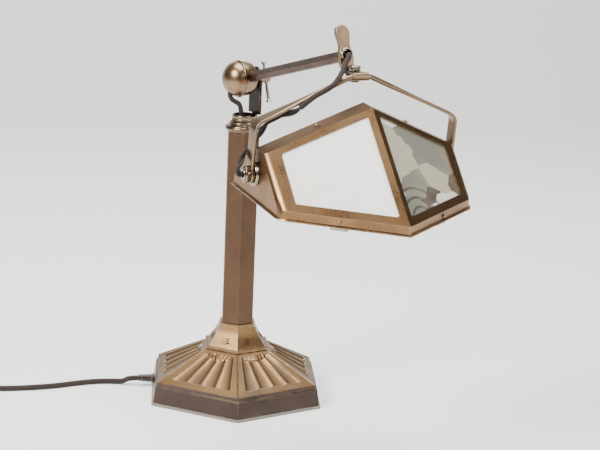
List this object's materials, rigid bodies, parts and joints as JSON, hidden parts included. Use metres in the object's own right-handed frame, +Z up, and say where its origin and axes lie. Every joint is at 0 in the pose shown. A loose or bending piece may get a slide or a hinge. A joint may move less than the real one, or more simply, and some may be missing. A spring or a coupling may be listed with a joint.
{
  "type": "banker desk lamp",
  "caption": "Desk lamp with a weighted hexagonal foot and column, a swivelling stem with a ball clamp, a tilting arm and a two-window shade hung in a yoke.",
  "frame": {"origin": "centre of the felt's underside, on the column's axis", "axes": "+Z up along the column; -Y is the front, toward the foot's front corner; the mains lead leaves on -X"},
  "size_m": [0.554, 0.4129, 0.418],
  "materials": {
    "bronze": "aged, satin",
    "nickel": "worn",
    "steel": "plain",
    "iron": "rough",
    "felt": "felt",
    "opal": "opal, satin",
    "etched": "etched, satin",
    "textile": "braided",
    "bakelite": "satin",
    "ceramic": "glazed",
    "bulb": "frosted"
  },
  "bodies": {
    "foot": {"felt_pad": "felt", "bottom_plate": "steel", "base_weight": "iron", "base_shell": "bronze", "neck": "bronze", "column": "bronze", "collar": "bronze", "tie_tube": "steel", "tie_nut_lower": "steel", "tie_nut_upper": "steel", "cord_grommet": "bakelite", "lead_inner": "textile", "mains_lead": "textile", "mains_coil": "textile", "coil_tie": "textile", "plug_lead": "textile", "mains_plug": "bakelite", "plug_pin_1": "nickel", "plug_pin_2": "nickel"},
    "stem": {"swivel_bush": "bronze", "stem_strap": "bronze", "friction_washer": "steel", "lead_jumper": "textile"},
    "clamp_knob": {"clamp_screw": "bronze"},
    "tommy": {"tommy_bar": "nickel"},
    "arm": {"ball_cup": "bronze", "ball_dome": "bronze", "ball_rim": "bronze", "clamp_nut": "steel", "terminal_block": "ceramic", "arm_tube": "bronze", "arm_head": "bronze", "lead_arm": "textile"},
    "head_clamp": {"yoke_clip": "bronze", "thumb_nut": "nickel"},
    "thumb": {"thumb_screw": "nickel"},
    "yoke": {"yoke_bar": "bronze", "lead_yoke": "textile"},
    "shade": {"shade_shell": "bronze", "glass_left": "opal", "glass_right": "etched", "lower_clamp_left": "steel", "lower_clamp_right": "steel", "lower_screw_left": "nickel", "lower_screw_right": "nickel", "upper_clamp_left": "steel", "upper_clamp_right": "steel", "upper_screw_left": "nickel", "upper_screw_right": "nickel", "pivot_nipple": "steel", "pivot_nut_left": "bronze", "pivot_nut_right": "steel", "pivot_screw_right": "bronze", "pivot_washer_left": "nickel", "pivot_washer_right": "nickel", "lampholder_body": "bakelite", "lampholder_ring": "bakelite", "bulb_cap": "steel", "bulb_glass": "bulb"}
  },
  "joints": [
    {"name": "stem_swivel", "type": "hinge", "parent": "foot", "child": "stem", "pos_m": [0, 0, 0.3], "axis": [0, 0, 1], "range_deg": [-150, 150]},
    {"name": "arm_tilt", "type": "hinge", "parent": "stem", "child": "arm", "pos_m": [0, 0, 0.3364], "axis": [0.9011, 0.4337, 0], "range_deg": [-20, 28], "deforming": ["lead_jumper"]},
    {"name": "clamp_knob_turn", "type": "hinge", "parent": "stem", "child": "clamp_knob", "pos_m": [0, 0, 0.3364], "axis": [0.9011, 0.4337, 0], "range_deg": [-90, 90]},
    {"name": "tommy_slide", "type": "slide", "parent": "clamp_knob", "child": "tommy", "axis": [-0.1483, 0.3082, 0.9397], "range_m": [-0.0075, 0.015]},
    {"name": "head_swivel", "type": "hinge", "parent": "arm", "child": "head_clamp", "pos_m": [0.09239, -0.19244, 0.37424], "axis": [0, 0, 1], "range_deg": [-40, 40], "deforming": ["lead_yoke"]},
    {"name": "thumb_turn", "type": "hinge", "parent": "head_clamp", "child": "thumb", "pos_m": [0.09239, -0.19244, 0.37424], "axis": [0, 0, 1], "range_deg": [-180, 180]},
    {"name": "yoke_tilt", "type": "hinge", "parent": "head_clamp", "child": "yoke", "pos_m": [0.09701, -0.20459, 0.37424], "axis": [0.9348, 0.3551, 0], "range_deg": [-20, 20]},
    {"name": "shade_tilt", "type": "hinge", "parent": "yoke", "child": "shade", "pos_m": [0.09322, -0.19462, 0.28609], "axis": [0.9348, 0.3551, 0], "range_deg": [-30, 50]}
  ]
}
